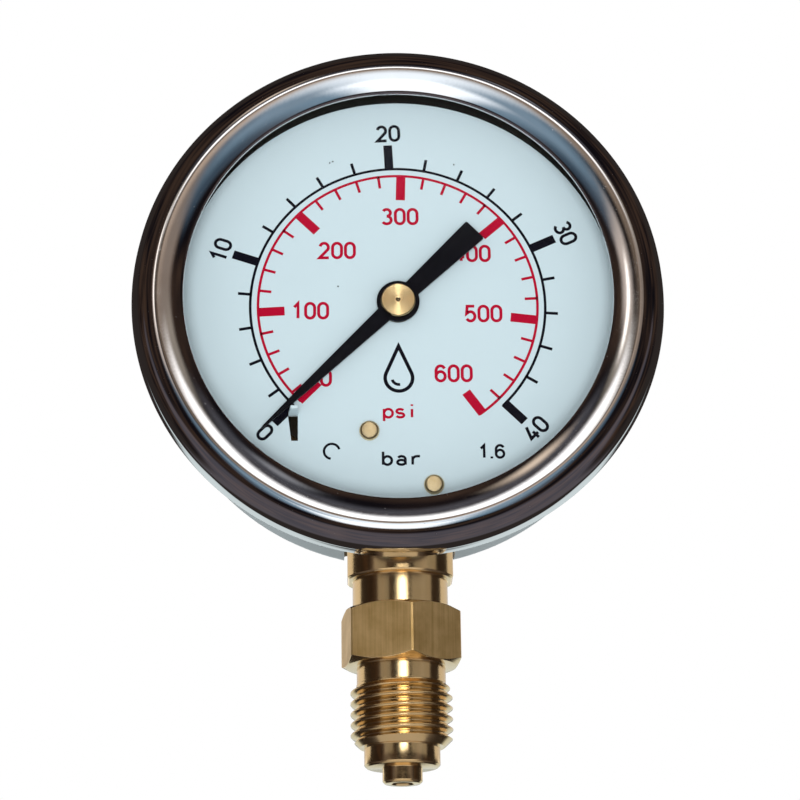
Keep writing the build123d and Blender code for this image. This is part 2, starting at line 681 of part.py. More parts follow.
def blade(shape, way):
    """One arm of the pointer: half widths along its length, the same on both sides."""
    left = [along_pointer(way * r, w) for r, w in shape]
    right = [along_pointer(way * r, -w) for r, w in reversed(shape)]
    with BuildLine() as outline:
        Polyline(*left, *right, close=True)
    make_face(outline.edges())


with BuildPart() as pointer:
    with BuildSketch(layer(POINTER_DEPTH + POINTER_T)):
        Circle(2.75)
        blade(POINTER_SHAPE, 1)
        blade(TAIL_SHAPE, -1)
        Circle(1.3, mode=Mode.SUBTRACT)
    extrude(amount=POINTER_T)
save(pointer, "pointer")

SPRING_FRONT, SPRING_T = 3.7, 0.7
COLLET_R = 1.35
SPRING_TURNS = 5.25
SPRING_OUTER_R = 6.0
SPRING_STRIP = 0.12
SPRING_ANGLE = 200        # where its inner end leaves the collet


def spiral_point(turn, offset):
    """A point of the hairspring's spiral after this many turns."""
    growth = (SPRING_OUTER_R - COLLET_R) / SPRING_TURNS
    r = COLLET_R + growth * turn + offset
    a = radians(SPRING_ANGLE) + 2 * pi * turn
    return (r * cos(a), r * sin(a))


with BuildPart() as hairspring_collet:
    disc([(0, 0)], COLLET_R, SPRING_FRONT, SPRING_FRONT + SPRING_T)
    holes([(0, 0)], JOURNAL_R, SPRING_FRONT, SPRING_FRONT + SPRING_T)
save(hairspring_collet, "hairspring_collet")

with BuildPart() as hairspring:
    with BuildSketch(layer(SPRING_FRONT + SPRING_T - 0.1)):
        with BuildLine():
            steps = int(SPRING_TURNS * 16)
            inner = [spiral_point(SPRING_TURNS * n / steps, 0) for n in range(steps + 1)]
            outer = [spiral_point(SPRING_TURNS * n / steps, SPRING_STRIP) for n in range(steps + 1)]
            Spline(*inner)
            Spline(*outer)
            Line(inner[0], outer[0])
            Line(inner[-1], outer[-1])
        make_face()
    extrude(amount=SPRING_T - 0.2)
save(hairspring, "hairspring")

STUD_AT = spiral_point(SPRING_TURNS, SPRING_STRIP + 0.5)

with BuildPart() as hairspring_stud:
    disc([STUD_AT], 0.5, FRONT_PLATE + PLATE_T, SPRING_FRONT + SPRING_T)
save(hairspring_stud, "hairspring_stud")
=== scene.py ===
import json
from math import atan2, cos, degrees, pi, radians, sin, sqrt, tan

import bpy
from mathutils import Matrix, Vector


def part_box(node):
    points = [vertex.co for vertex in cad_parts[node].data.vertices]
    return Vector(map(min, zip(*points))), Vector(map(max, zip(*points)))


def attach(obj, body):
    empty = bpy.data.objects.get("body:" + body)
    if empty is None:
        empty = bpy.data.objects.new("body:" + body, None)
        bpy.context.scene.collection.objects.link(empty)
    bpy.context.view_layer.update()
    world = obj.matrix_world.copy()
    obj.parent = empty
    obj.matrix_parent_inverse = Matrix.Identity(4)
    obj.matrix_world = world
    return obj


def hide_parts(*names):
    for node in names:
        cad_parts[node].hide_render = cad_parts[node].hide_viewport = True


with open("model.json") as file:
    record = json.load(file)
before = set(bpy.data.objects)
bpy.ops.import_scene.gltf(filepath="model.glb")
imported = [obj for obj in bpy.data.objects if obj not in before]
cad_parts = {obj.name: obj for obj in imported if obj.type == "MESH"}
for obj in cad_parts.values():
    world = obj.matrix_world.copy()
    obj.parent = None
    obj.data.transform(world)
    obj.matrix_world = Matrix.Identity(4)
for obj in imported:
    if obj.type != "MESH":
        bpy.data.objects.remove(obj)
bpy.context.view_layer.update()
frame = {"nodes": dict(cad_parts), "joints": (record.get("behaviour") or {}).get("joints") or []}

# The looks of a 63 mm Bourdon-tube pressure gauge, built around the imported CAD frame.
#
# Frame: metres, +Z up, the dial faces -Y. Shapes are given in millimetres in the dial's own layout: x to the
# right and z up from the pointer axis, and depth behind the dial's printed face. Angles on the dial run
# clockwise from the top. Heights on the stem are in millimetres above the sealing face.

MM = 0.001
joints = {joint["name"]: joint for joint in frame["joints"]}
CENTRE = Vector(joints["pointer_spin"]["pos_m"])     # the pointer axis, in the plane of the dial's face

FIXED = "case_and_tube"
POINTER = "pointer"


def place(x, z, depth):
    """A point of the dial's layout, in the frame."""
    return Vector((CENTRE.x + x * MM, CENTRE.y + depth * MM, CENTRE.z + z * MM))


def polar(radius, clockwise):
    """A point of the dial's layout, from its radius and its angle from the top."""
    return (radius * sin(radians(clockwise)), radius * cos(radians(clockwise)))


# ---------------------------------------------------------------- node helpers
def add(tree, kind, inputs=None, **settings):
    """A new shader node. An input is a value, or the socket of another node to link."""
    node = tree.nodes.new("ShaderNode" + kind)
    for key, value in settings.items():
        setattr(node, key, value)
    for key, value in (inputs or {}).items():
        if isinstance(value, bpy.types.NodeSocket):
            tree.links.new(value, node.inputs[key])
        else:
            node.inputs[key].default_value = value
    return node


def new_material(name):
    """A material with one Principled shader: (material, its node tree, the shader)."""
    material = bpy.data.materials.new(name)
    material.use_nodes = True
    tree = material.node_tree
    tree.nodes.clear()
    shader = add(tree, "BsdfPrincipled")
    add(tree, "OutputMaterial", {"Surface": shader.outputs["BSDF"]})
    return material, tree, shader


def coordinates(tree, stretch=(1, 1, 1)):
    """Object coordinates, stretched: a larger number makes the pattern finer along that axis."""
    where = add(tree, "TexCoord").outputs["Object"]
    return add(tree, "Mapping", {"Vector": where, "Scale": stretch}).outputs["Vector"]


def noise(tree, size_mm, vector, detail=3.0, roughness=0.55):
    """Noise whose blotches are about this size."""
    settings = {"Vector": vector, "Scale": 1 / (size_mm * MM), "Detail": detail, "Roughness": roughness}
    return add(tree, "TexNoise", settings).outputs["Fac"]


def between(tree, value, low, high, edges=(0.0, 1.0)):
    """The value spread from low to high."""
    settings = {"Value": value, "From Min": edges[0], "From Max": edges[1], "To Min": low, "To Max": high}
    return add(tree, "MapRange", settings).outputs["Result"]


def blend_colours(tree, factor, dark, light):
    """A colour between two."""
    mix = add(tree, "Mix", data_type="RGBA")
    tree.links.new(factor, mix.inputs["Factor"])
    mix.inputs["A"].default_value = (*dark, 1)
    mix.inputs["B"].default_value = (*light, 1)
    return mix.outputs["Result"]


def paint(tree, shader, factor, dark, light):
    """The shader's colour, somewhere between these two."""
    tree.links.new(blend_colours(tree, factor, dark, light), shader.inputs["Base Color"])


def roughen(tree, shader, factor, low, high):
    """The shader's roughness, somewhere between these two."""
    tree.links.new(between(tree, factor, low, high), shader.inputs["Roughness"])


def bump(tree, shader, height, strength, distance_mm):
    """Relief from a height."""
    settings = {"Height": height, "Strength": strength, "Distance": distance_mm * MM}
    tree.links.new(add(tree, "Bump", settings).outputs["Normal"], shader.inputs["Normal"])


# ---------------------------------------------------------------- materials
def polished_steel():
    """Mirror-polished stainless sheet with faint polishing haze and tiny marks."""
    material, tree, shader = new_material("polished_steel")
    where = coordinates(tree)
    haze = noise(tree, 3.0, where, 4)
    specks = noise(tree, 0.35, where, 2)
    paint(tree, shader, haze, (0.70, 0.69, 0.685), (0.80, 0.80, 0.81))
    polish = between(tree, haze, 0.03, 0.075, (0.3, 0.75))
    marks = between(tree, noise(tree, 0.22, where, 1), 0, 0.25, (0.74, 0.82))
    both = add(tree, "Math", {0: polish, 1: marks}, operation="ADD").outputs["Value"]
    tree.links.new(both, shader.inputs["Roughness"])
    bump(tree, shader, between(tree, specks, 0, 1, (0.25, 0.8)), 0.035, 0.01)
    shader.inputs["Metallic"].default_value = 1.0
    return material


def satin_steel():
    """Drawn sheet with the fine lines of brushing round the drum."""
    material, tree, shader = new_material("satin_steel")
    lines = noise(tree, 0.6, coordinates(tree, (1, 14, 1)), 4)
    clouds = noise(tree, 9.0, coordinates(tree), 3)
    paint(tree, shader, clouds, (0.74, 0.77, 0.79), (0.84, 0.86, 0.87))
    roughen(tree, shader, lines, 0.40, 0.54)
    bump(tree, shader, lines, 0.08, 0.01)
    shader.inputs["Metallic"].default_value = 1.0
    return material


def turned_brass():
    """Brass from the lathe, with fine grooves round the upright axis."""
    material, tree, shader = new_material("turned_brass")
    grooves = noise(tree, 0.12, coordinates(tree, (0.02, 0.02, 1)), 3, 0.6)
    stains = noise(tree, 2.5, coordinates(tree), 4)
    paint(tree, shader, stains, (0.76, 0.53, 0.25), (0.88, 0.65, 0.36))
    roughen(tree, shader, grooves, 0.119, 0.238)
    bump(tree, shader, grooves, 0.12, 0.01)
    shader.inputs["Metallic"].default_value = 1.0
    return material


def drawn_brass():
    """The flats of the hexagon: drawn bar stock with lines along its length."""
    material, tree, shader = new_material("drawn_brass")
    lines = noise(tree, 0.45, coordinates(tree, (1, 1, 0.02)), 5, 0.7)
    stains = noise(tree, 3.0, coordinates(tree), 4)
    streaks = add(tree, "Math", {0: lines, 1: stains}, operation="ADD").outputs["Value"]
    paint(tree, shader, between(tree, streaks, 0, 1, (0.75, 1.25)), (0.54, 0.35, 0.13), (0.80, 0.56, 0.26))
    roughen(tree, shader, lines, 0.34, 0.48)
    bump(tree, shader, lines, 0.35, 0.02)
    shader.inputs["Metallic"].default_value = 0.92
    return material


def face_brass(name, dark, light, roughness):
    """A turned face with fine grain and faint stains."""
    material, tree, shader = new_material(name)
    stains = noise(tree, 0.8, coordinates(tree), 3)
    grain = noise(tree, 0.10, coordinates(tree), 2)
    paint(tree, shader, stains, dark, light)
    roughen(tree, shader, stains, roughness * 0.9, roughness * 1.1)
    bump(tree, shader, grain, 0.05, 0.01)
    shader.inputs["Metallic"].default_value = 1.0
    return material


def enamel(name, dark, light, roughness, gloss):
    """Painted or printed surface with a slightly uneven film."""
    material, tree, shader = new_material(name)
    clouds = noise(tree, 6.0, coordinates(tree), 3)
    film = noise(tree, 0.25, coordinates(tree), 2)
    paint(tree, shader, clouds, dark, light)
    roughen(tree, shader, clouds, roughness * 0.9, roughness * 1.15)
    bump(tree, shader, film, 0.04, 0.01)
    shader.inputs["Specular IOR Level"].default_value = gloss
    return material


def rubber():
    """Moulded black rubber."""
    material, tree, shader = new_material("rubber")
    grain = noise(tree, 0.2, coordinates(tree), 4)
    paint(tree, shader, grain, (0.010, 0.010, 0.011), (0.026, 0.026, 0.028))
    roughen(tree, shader, grain, 0.55, 0.75)
    bump(tree, shader, grain, 0.2, 0.02)
    return material


def plain_metal(name, dark, light, low, high, metallic=1.0):
    """A metal of the movement inside, with stains and a fine grain."""
    material, tree, shader = new_material(name)
    stains = noise(tree, 1.6, coordinates(tree), 4)
    grain = noise(tree, 0.12, coordinates(tree), 2)
    paint(tree, shader, stains, dark, light)
    roughen(tree, shader, stains, low, high)
    bump(tree, shader, grain, 0.08, 0.01)
    shader.inputs["Metallic"].default_value = metallic
    return material


def window_glass():
    """A clear pane: most light passes straight through, and the rest is mirrored, more at a slant."""
    material, tree, shader = new_material("window_glass")
    output = tree.nodes["Material Output"]
    smears = noise(tree, 12.0, coordinates(tree), 2)
    shader.inputs["Base Color"].default_value = (1, 1, 1, 1)
    shader.inputs["Metallic"].default_value = 1.0
    roughen(tree, shader, smears, 0.01, 0.03)
    clear = add(tree, "BsdfTransparent", {"Color": (0.985, 0.992, 0.990, 1)})
    slant = add(tree, "LayerWeight", {"Blend": 0.5}).outputs["Facing"]
    steep = add(tree, "Math", {0: slant, 1: 4.0}, operation="POWER").outputs["Value"]
    mirrored = between(tree, steep, 0.004, 0.8)
    mix = add(tree, "MixShader", {0: mirrored, 1: clear.outputs["BSDF"], 2: shader.outputs["BSDF"]})
    tree.links.new(mix.outputs["Shader"], output.inputs["Surface"])
    return material


def floor_paint():
    """Pale matte floor."""
    material, tree, shader = new_material("floor_paint")
    clouds = noise(tree, 300.0, coordinates(tree), 2)
    paint(tree, shader, clouds, (0.93, 0.93, 0.93), (0.96, 0.96, 0.96))
    shader.inputs["Roughness"].default_value = 0.9
    shader.inputs["Specular IOR Level"].default_value = 0.0
    return material


STEEL = polished_steel()
SATIN = satin_steel()
BRASS = turned_brass()
BAR_BRASS = drawn_brass()
HUB_BRASS = face_brass("hub_brass", (0.62, 0.44, 0.21), (0.76, 0.57, 0.32), 0.15)
RIVET_BRASS = face_brass("rivet_brass", (0.68, 0.49, 0.24), (0.92, 0.74, 0.46), 0.30)
RUBBER = rubber()
GLASS = window_glass()
DIAL_PAINT = enamel("dial_paint", (0.620, 0.742, 0.800), (0.640, 0.762, 0.820), 0.5, 0.15)
INK_BLACK = enamel("ink_black", (0.003, 0.003, 0.008), (0.005, 0.005, 0.012), 0.5, 0.1)
INK_RED = enamel("ink_red", (0.44, 0.001, 0.024), (0.50, 0.002, 0.032), 0.5, 0.1)
POINTER_PAINT = enamel("pointer_paint", (0.003, 0.003, 0.006), (0.006, 0.006, 0.009), 0.4, 0.12)
MOVEMENT_BRASS = plain_metal("movement_brass", (0.62, 0.45, 0.20), (0.76, 0.58, 0.30), 0.25, 0.40)
MOVEMENT_STEEL = plain_metal("movement_steel", (0.50, 0.50, 0.50), (0.62, 0.62, 0.61), 0.20, 0.32)
SCREW_STEEL = plain_metal("screw_steel", (0.58, 0.59, 0.60), (0.70, 0.71, 0.72), 0.22, 0.36)
BRONZE = plain_metal("tube_bronze", (0.60, 0.38, 0.20), (0.78, 0.54, 0.32), 0.25, 0.38, 0.75)


# ---------------------------------------------------------------- mesh helpers
class Shape:
    """Points in metres and faces, collected until they become one piece."""

    def __init__(self):
        self.points = []
        self.faces = []
        self.looks = []
        self.strokes = 0

    def point(self, position):
        self.points.append(tuple(position))
        return len(self.points) - 1

    def face(self, corners, look=0):
        self.faces.append(tuple(corners))
        self.looks.append(look)

    def piece(self, name, body, materials, replaces=(), sharp=30.0):
        """The finished object, riding on its body."""
        mesh = bpy.data.meshes.new(name)
        mesh.from_pydata(self.points, [], self.faces)
        for material in materials:
            mesh.materials.append(material)
        mesh.polygons.foreach_set("material_index", self.looks)
        mesh.shade_smooth()
        mesh.set_sharp_from_angle(angle=radians(sharp))
        mesh.validate()
        made = bpy.data.objects.new(name, mesh)
        bpy.context.scene.collection.objects.link(made)
        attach(made, body)
        if replaces:
            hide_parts(*replaces)
        return made


def arc(centre, radius, start, end, steps):
    """Points of a circular arc, in degrees counterclockwise from the first axis, both ends included."""
    points = []
    for n in range(steps + 1):
        a = radians(start + (end - start) * n / steps)
        points.append((centre[0] + radius * cos(a), centre[1] + radius * sin(a)))
    return points


def lathe(shape, profile, segments, at=(0.0, 0.0), closed=True):
    """Turns a profile of (radius, depth) round an axis along the depth. A point on the axis is one vertex."""
    x, z = at
    rings = []
    for radius, depth in profile:
        if radius == 0:
            rings.append([shape.point(place(x, z, depth))])
            continue
        ring = []
        for n in range(segments):
            a = 2 * pi * n / segments
            ring.append(shape.point(place(x + radius * sin(a), z + radius * cos(a), depth)))
        rings.append(ring)
    pairs = list(zip(rings, rings[1:]))
    if closed:
        pairs.append((rings[-1], rings[0]))
    for one, other in pairs:
        if len(one) == 1 and len(other) == 1:
            continue
        for n in range(segments):
            m = (n + 1) % segments
            if len(one) == 1:
                shape.face((one[0], other[m], other[n]))
            elif len(other) == 1:
                shape.face((one[n], one[m], other[0]))
            else:
                shape.face((one[n], one[m], other[m], other[n]))


# ---------------------------------------------------------------- bezel and window
BEZEL_R = 33.8
FLANK_R = 2.66             # radius of the ring's outer rounding
FLANK_AT = (BEZEL_R - FLANK_R, -3.485)
CREST_R = 4.5              # gentler rounding of its front
SLOPE_R = 21.0             # nearly flat part that slopes in to the lip
TILTS = (12.0, -4.5, -12.5)          # slope where these three roundings meet, degrees
LIP_R = 0.38


def bezel_profile():
    """The crimped ring, from its rear edge over the flank and the crest down to the lip and back inside."""
    rear = arc((32.8, -2.6), 1.2, 90, 0, 12)
    flank = arc(FLANK_AT, FLANK_R, 0, -90 + TILTS[0], 40)
    front = []
    end = flank[-1]
    for radius, first, last in ((CREST_R, TILTS[0], TILTS[1]), (SLOPE_R, TILTS[1], TILTS[2])):
        middle = (end[0] - radius * sin(radians(first)), end[1] + radius * cos(radians(first)))
        front += arc(middle, radius, -90 + first, -90 + last, 24)[1:]
        end = front[-1]
    lip_at = (end[0] - LIP_R * sin(radians(TILTS[2])), end[1] + LIP_R * cos(radians(TILTS[2])))
    lip = arc(lip_at, LIP_R, -90 + TILTS[2], -270, 14)
    inside = [(29.6, -4.9), *arc((31.2, -3.6), 1.82, -100, 0, 16), (33.02, -2.2), (31.9, -2.2), (31.9, -1.4)]
    return [*rear, *flank[1:], *front, *lip[1:], *inside]


def make_bezel():
    """The crimped ring round the front."""
    shape = Shape()
    lathe(shape, bezel_profile(), 384)
    shape.piece("bezel", FIXED, [STEEL], ["bezel_ring"], sharp=35)


def make_window():
    """The clear pane, with its edges broken."""
    low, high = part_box("window")
    front = (low.y - CENTRE.y) / MM
    back = (high.y - CENTRE.y) / MM
    radius = (high.x - low.x) / 2 / MM
    edge = 0.15
    profile = [(0, front), (radius - edge, front), (radius, front + edge), (radius, back - edge)]
    profile += [(radius - edge, back), (0, back)]
    shape = Shape()
    lathe(shape, profile, 192, closed=False)
    shape.piece("window_pane", FIXED, [GLASS], ["window"])


# ---------------------------------------------------------------- stem
SPIGOT_R, SPIGOT_LOW = 2.5, -2.0
PILOT_R, PILOT_TOP = 4.75, 2.5
THREAD_R, ROOT_R, PITCH = 6.44, 5.7225, 1.337
THREAD_TOP, RUN_OUT = 10.5, 0.9
THREAD_ROWS = 151
START_R, START_SLOPE = 5.35, 1.05    # the cone that chamfers the thread's first turn
LOWER_NECK_R = 5.6
HEX_LOW, HEX_HIGH, HEX_FLAT = 12.7, 19.9, 7.0
HEX_LAND = 8.0             # the corners are turned off at this radius,
HEX_CONE = 30              # by a cone that drops this many degrees
HEX_CORNER = 39.0          # degrees, from +x to the nearest corner
UPPER_NECK_R = 6.05
COLLAR_LOW, COLLAR_HALF, COLLAR_ROUND = 23.7, 6.7, 7.05
COLLAR_TOP = 30.7
BORE_R, BORE_END, AXIS_R = 1.25, 8.0, 0.02
SHOULDER_TOP, BLOCK_TOP = 33.1, 39.7
SHOULDER = (9.2, 8.05, 3.1)          # half width, and reach to the front and the back of the stem's axis
BLOCK = (7.0, 8.1, 8.45)
TURNED, DRAWN = 0, 1                 # the stem's two surfaces


def hexagon(angle):
    """Radius of the hexagon at this angle, its corners turned off."""
    off = (angle - HEX_CORNER) % 60 - 30
    return min(HEX_FLAT / cos(radians(off)), HEX_LAND)


def box_radius(angle, half_w, front, back):
    """Radius of an upright box round the axis: front and back are its reaches to -y and +y."""
    c, s = cos(radians(angle)), sin(radians(angle))
    reach = half_w / max(abs(c), 1e-9)
    return min(reach, (front if s < 0 else back) / max(abs(s), 1e-9))


def collar(angle):
    """Radius of the collar: turned round, with a flat on either side."""
    return min(COLLAR_HALF / max(abs(cos(radians(angle))), 1e-9), COLLAR_ROUND)


def thread(angle, height):
    """Radius of the right-hand thread, rounded at crest and root, with its start and its run-out."""
    phase = (height / PITCH - angle / 360) % 1
    wave = 0.5 - 0.5 * cos(2 * pi * phase)
    fade = min(1.0, max(0.0, (THREAD_TOP - height) / RUN_OUT))
    root = ROOT_R + (LOWER_NECK_R - ROOT_R) * (1 - fade)
    radius = root + (THREAD_R - ROOT_R) * wave * fade
    return min(radius, START_R + (height - PILOT_TOP) * START_SLOPE)


def stem_rows():
    """Rows of the stem from the bore up: each has a function of the angle that gives (radius, height)."""
    rows = []

    def turned(*points):
        """Round rows through these (radius, height)."""
        for radius, height in points:
            rows.append((lambda angle, r=radius, h=height: (r, h), TURNED))

    def drop(radius):
        """How far the cone has come down at this radius."""
        return (radius - HEX_FLAT) * tan(radians(HEX_CONE))

    def chamfered(end, sign, gap, look, inset=0.0):
        """A row round the hexagon, where the cone lets it end."""
        rows.append((lambda angle: (hexagon(angle) - inset, end + sign * (drop(hexagon(angle)) + gap)), look))

    turned((AXIS_R, BORE_END), (BORE_R, BORE_END - 0.4), (BORE_R, SPIGOT_LOW + 0.25))
    turned((BORE_R + 0.2, SPIGOT_LOW + 0.04), (BORE_R + 0.26, SPIGOT_LOW))
    turned((SPIGOT_R - 0.3, SPIGOT_LOW), (SPIGOT_R - 0.26, SPIGOT_LOW + 0.02))
    turned((SPIGOT_R - 0.02, SPIGOT_LOW + 0.26), (SPIGOT_R, SPIGOT_LOW + 0.32), (SPIGOT_R, -0.14))
    turned((SPIGOT_R + 0.04, -0.04), (SPIGOT_R + 0.14, 0), (PILOT_R - 0.34, 0), (PILOT_R - 0.26, 0.03))
    turned((PILOT_R - 0.03, 0.26), (PILOT_R, 0.34), (PILOT_R, PILOT_TOP - 0.1), (PILOT_R + 0.1, PILOT_TOP))
    for n in range(THREAD_ROWS):
        height = PILOT_TOP + (THREAD_TOP - PILOT_TOP) * n / (THREAD_ROWS - 1)
        rows.append((lambda angle, h=height: (thread(angle, h), h), TURNED))
    turned((LOWER_NECK_R, THREAD_TOP + 0.1), (LOWER_NECK_R, HEX_LOW - 0.12), (LOWER_NECK_R + 0.12, HEX_LOW))
    turned((HEX_FLAT - 0.05, HEX_LOW), (HEX_FLAT, HEX_LOW + 0.02))
    chamfered(HEX_LOW, 1, 0.01, TURNED, inset=0.03)
    chamfered(HEX_LOW, 1, 0.06, DRAWN)
    chamfered(HEX_HIGH, -1, 0.06, DRAWN)
    chamfered(HEX_HIGH, -1, 0.01, TURNED, inset=0.03)
    turned((HEX_FLAT, HEX_HIGH - 0.02), (HEX_FLAT - 0.05, HEX_HIGH))
    turned((UPPER_NECK_R + 0.15, HEX_HIGH), (UPPER_NECK_R, HEX_HIGH + 0.15))
    turned((UPPER_NECK_R, COLLAR_LOW - 0.1), (UPPER_NECK_R + 0.1, COLLAR_LOW))

    for inset, height in ((0.28, 0), (0.22, 0.03), (0.02, 0.24), (0, 0.30), (0, COLLAR_TOP - COLLAR_LOW)):
        rows.append((lambda angle, i=inset, h=height: (collar(angle) - i, COLLAR_LOW + h), TURNED))
    for box, low, high in ((SHOULDER, COLLAR_TOP, SHOULDER_TOP), (BLOCK, SHOULDER_TOP, BLOCK_TOP)):
        for height in (low, high):
            rows.append((lambda angle, b=box, h=height: (box_radius(angle, *b), h), TURNED))
    turned((AXIS_R, BLOCK_TOP))
    return rows


def stem_angles():
    """Where each row of the stem has its points: evenly round, and at each edge of collar and hexagon."""
    corner = degrees(atan2(sqrt(COLLAR_ROUND**2 - COLLAR_HALF**2), COLLAR_HALF))
    land = 30 - degrees(atan2(sqrt(HEX_LAND**2 - HEX_FLAT**2), HEX_FLAT))
    angles = {round(1.5 * n, 4) for n in range(240)}
    for n in range(4):
        angles |= {round((90 * n + corner) % 360, 4), round((90 * n - corner) % 360, 4)}
    for n in range(6):
        angles |= {round((HEX_CORNER + 60 * n + land) % 360, 4), round((HEX_CORNER + 60 * n - land) % 360, 4)}
    return sorted(angles)


def make_stem():
    """The brass connection and the block that it carries inside the case."""
    angles = stem_angles()
    shape = Shape()
    rings, looks = [], []
    for row, look in stem_rows():
        ring = []
        for angle in angles:
            radius, height = row(angle)
            a = radians(angle)
            ring.append(shape.point((radius * cos(a) * MM, radius * sin(a) * MM, height * MM)))
        rings.append(ring)
        looks.append(look)
    count = len(angles)
    for k in range(len(rings) - 1):
        look = DRAWN if looks[k] == looks[k + 1] == DRAWN else TURNED
        for n in range(count):
            m = (n + 1) % count
            shape.face((rings[k][n], rings[k][m], rings[k + 1][m], rings[k + 1][n]), look)
    shape.face(tuple(reversed(rings[0])))
    shape.face(tuple(rings[-1]))
    return shape.piece("stem_body", FIXED, [BRASS, BAR_BRASS], ["stem"], sharp=28)


# ---------------------------------------------------------------- pointer hub and rivets
GROOVE_DEPTH = 0.007       # of the fine rings left by the lathe
GROOVE_STEPS = 68          # four to a groove
POINTER_FACE = -1.55       # depth of the pointer's front, on which the hub's flange lies
RIVETS = [(-3.83, -16.93), (4.25, -24.07)]
RIVET_R, RIVET_H = 1.28, 0.55
SHANK_R, SHANK_L = 0.8, 2.8


def make_hub():
    """The turned bush in the pointer's middle, with a centre mark and fine rings on its face."""
    low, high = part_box("pointer_hub")
    front = (low.y - CENTRE.y) / MM
    radius = (high.x - low.x) / 2 / MM
    back = POINTER_FACE
    profile = [(0, front + 0.08), (0.1, front + 0.05), (0.2, front + 0.005), (0.42, front)]
    for n in range(GROOVE_STEPS + 1):
        depth = GROOVE_DEPTH * (0, 0.5, 1, 0.5)[n % 4]
        profile.append((0.48 + (radius - 0.72) * n / GROOVE_STEPS, front + depth))
    profile += [(radius - 0.17, front), (radius - 0.05, front + 0.04)]
    profile += [(radius, front + 0.15), (radius, front + 0.2), (radius, back)]
    profile += [(1.3, back), (1.3, -0.4), (0.7, -0.4), (0.7, -1.4), (0, -1.4)]
    shape = Shape()
    lathe(shape, profile, 160, closed=False)
    return shape.piece("pointer_boss", POINTER, [HUB_BRASS], ["pointer_hub"])


def make_rivets():
    """Two rivets with low heads: nearly flat in the middle and rounded at the rim."""
    profile = [(0, -RIVET_H)]
    for n in range(1, 17):
        t = n / 16
        profile.append((RIVET_R * t, -RIVET_H * (1 - 0.07 * t * t - 0.5 * t**14)))
    profile += [(RIVET_R, 0), (SHANK_R, 0), (SHANK_R, SHANK_L), (0, SHANK_L)]
    shape = Shape()
    for at in RIVETS:
        lathe(shape, profile, 96, at, closed=False)
    return shape.piece("dial_rivet_heads", FIXED, [RIVET_BRASS], ["dial_rivets"])


# ---------------------------------------------------------------- print on the dial
INK_FRONT, INK_BACK = -0.012, -0.002
INK_STEP = 0.0012          # strokes that cross lie at slightly different heights


def stroke(shape, path, width, closed=False):
    """A line of ink of even width along a path of points."""
    count = len(path)
    left, right = [], []
    for n, (x, z) in enumerate(path):
        before = path[n - 1] if closed or n > 0 else None
        after = path[(n + 1) % count] if closed or n < count - 1 else None
        one = Vector((x - before[0], z - before[1])).normalized() if before else None
        two = Vector((after[0] - x, after[1] - z)).normalized() if after else None
        way = ((one or two) + (two or one)).normalized()
        across = Vector((-way.y, way.x))
        reach = width / 2
        if one and two:
            reach /= max(0.4, across.dot(Vector((-two.y, two.x))))
        left.append((x + across.x * reach, z + across.y * reach))
        right.append((x - across.x * reach, z - across.y * reach))
    shape.strokes += 1
    front = INK_FRONT - INK_STEP * (shape.strokes % 5)
    rows = []
    for a, b in zip(left, right):
        corners = ((a, front), (b, front), (b, INK_BACK), (a, INK_BACK))
        rows.append([shape.point(place(*spot, depth)) for spot, depth in corners])
    pairs = list(zip(rows, rows[1:]))
    if closed:
        pairs.append((rows[-1], rows[0]))
    for one, two in pairs:
        for n in range(4):
            m = (n + 1) % 4
            shape.face((one[m], one[n], two[n], two[m]))
    if not closed:
        shape.face(rows[0])
        shape.face(list(reversed(rows[-1])))


def ring_line(shape, radius, width, start, end):
    """A circular line of the scale between two angles."""
    steps = int(abs(end - start) / 1.5)
    stroke(shape, [polar(radius, start + (end - start) * n / steps) for n in range(steps + 1)], width)


def tick(shape, angle, inner, outer, width):
    """A radial line of the scale."""
    stroke(shape, [polar(inner, angle), polar(outer, angle)], width)


def curve(cx, cy, rx, ry, start, end, steps=18):
    """Part of an ellipse as points, counterclockwise for a growing angle."""
    points = []
    for n in range(steps + 1):
        a = radians(start + (end - start) * n / steps)
        points.append((cx + rx * cos(a), cy + ry * sin(a)))
    return points


